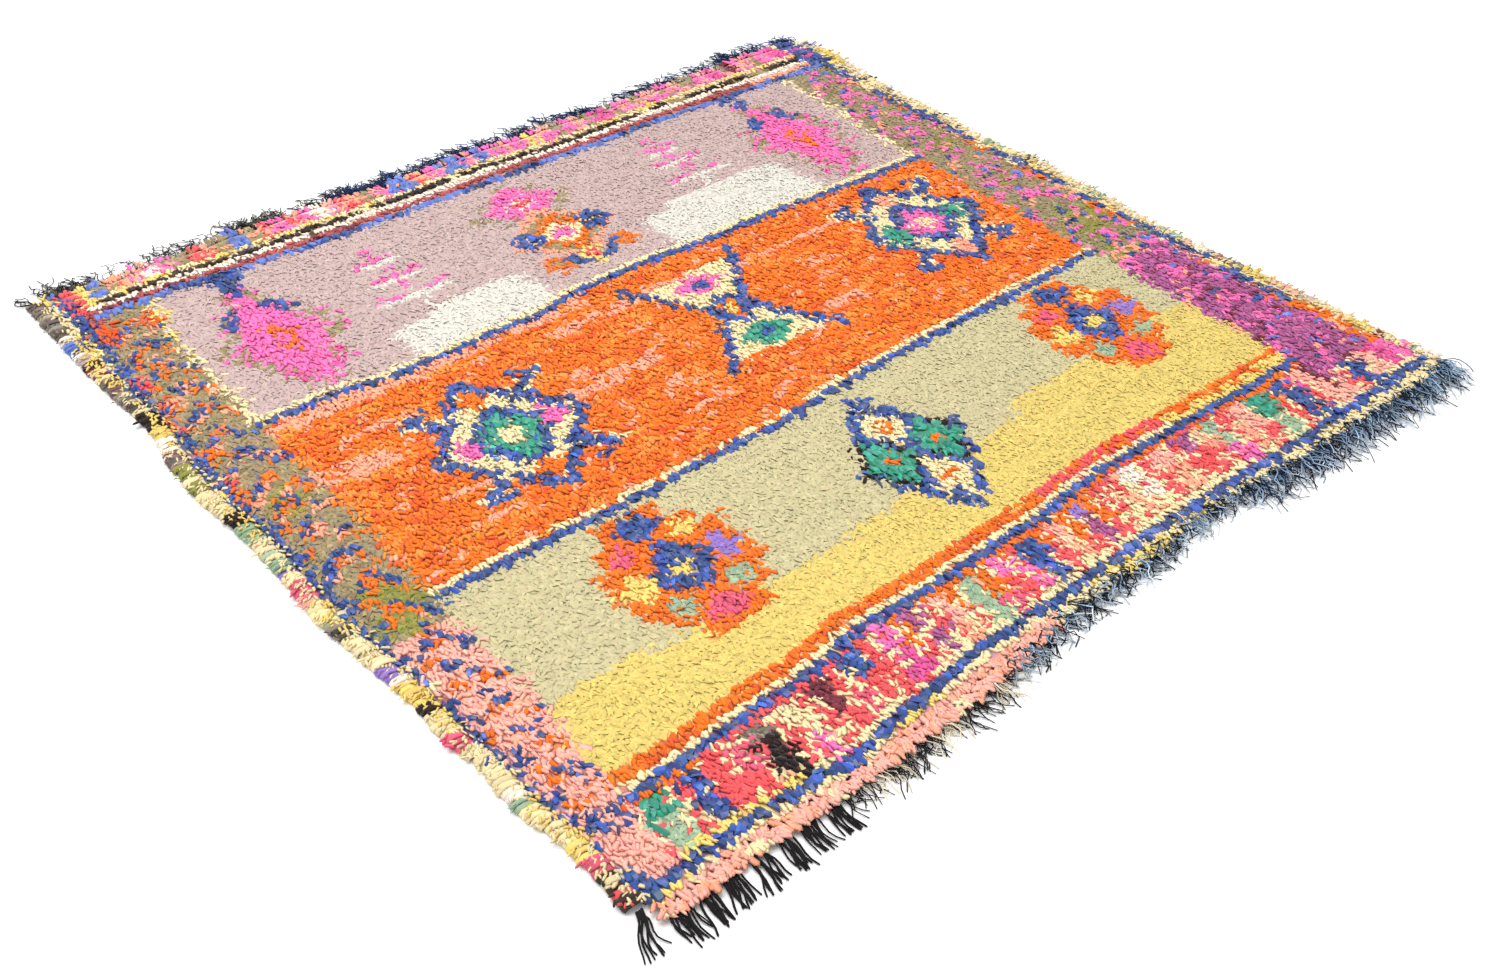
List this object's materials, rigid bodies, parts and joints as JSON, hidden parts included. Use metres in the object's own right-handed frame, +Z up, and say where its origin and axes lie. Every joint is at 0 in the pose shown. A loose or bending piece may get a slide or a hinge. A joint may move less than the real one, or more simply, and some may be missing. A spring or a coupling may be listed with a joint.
{
  "type": "boucherouite rug",
  "caption": "Flat knotted rag-pile rug with a blocked field, bordered sides, overcast side edges and fringed ends, for laying on a floor.",
  "frame": {"origin": "middle of the rug's plan, on its underside", "axes": "+X along the near fringed end, from the left side edge to the right one; +Y from the near end to the far end; +Z up, out of the pile"},
  "size_m": [1.6834, 1.5881, 0.0151],
  "materials": {
    "rag_pile": "knotted strips of cotton, wool and satiny synthetic rag in many colours, soft and matte with some sheen",
    "overcast_rag": "rag strips wrapped round the side cords, matte, mottled greys and pastels",
    "warp_black": "twisted black yarn, matte",
    "warp_mixed": "twisted undyed and black yarn, curly, matte",
    "warp_grey": "twisted grey-blue yarn, matte",
    "warp_indigo": "twisted indigo yarn with paler tips, matte"
  },
  "bodies": {
    "root": {"knotted_pile": "rag_pile", "selvedge_left": "overcast_rag", "selvedge_right": "overcast_rag", "fringe_near_black": "warp_black", "fringe_near_mixed": "warp_mixed", "fringe_near_grey": "warp_grey", "fringe_near_indigo": "warp_indigo", "fringe_far_black": "warp_black", "fringe_far_indigo": "warp_indigo"}
  },
  "joints": []
}
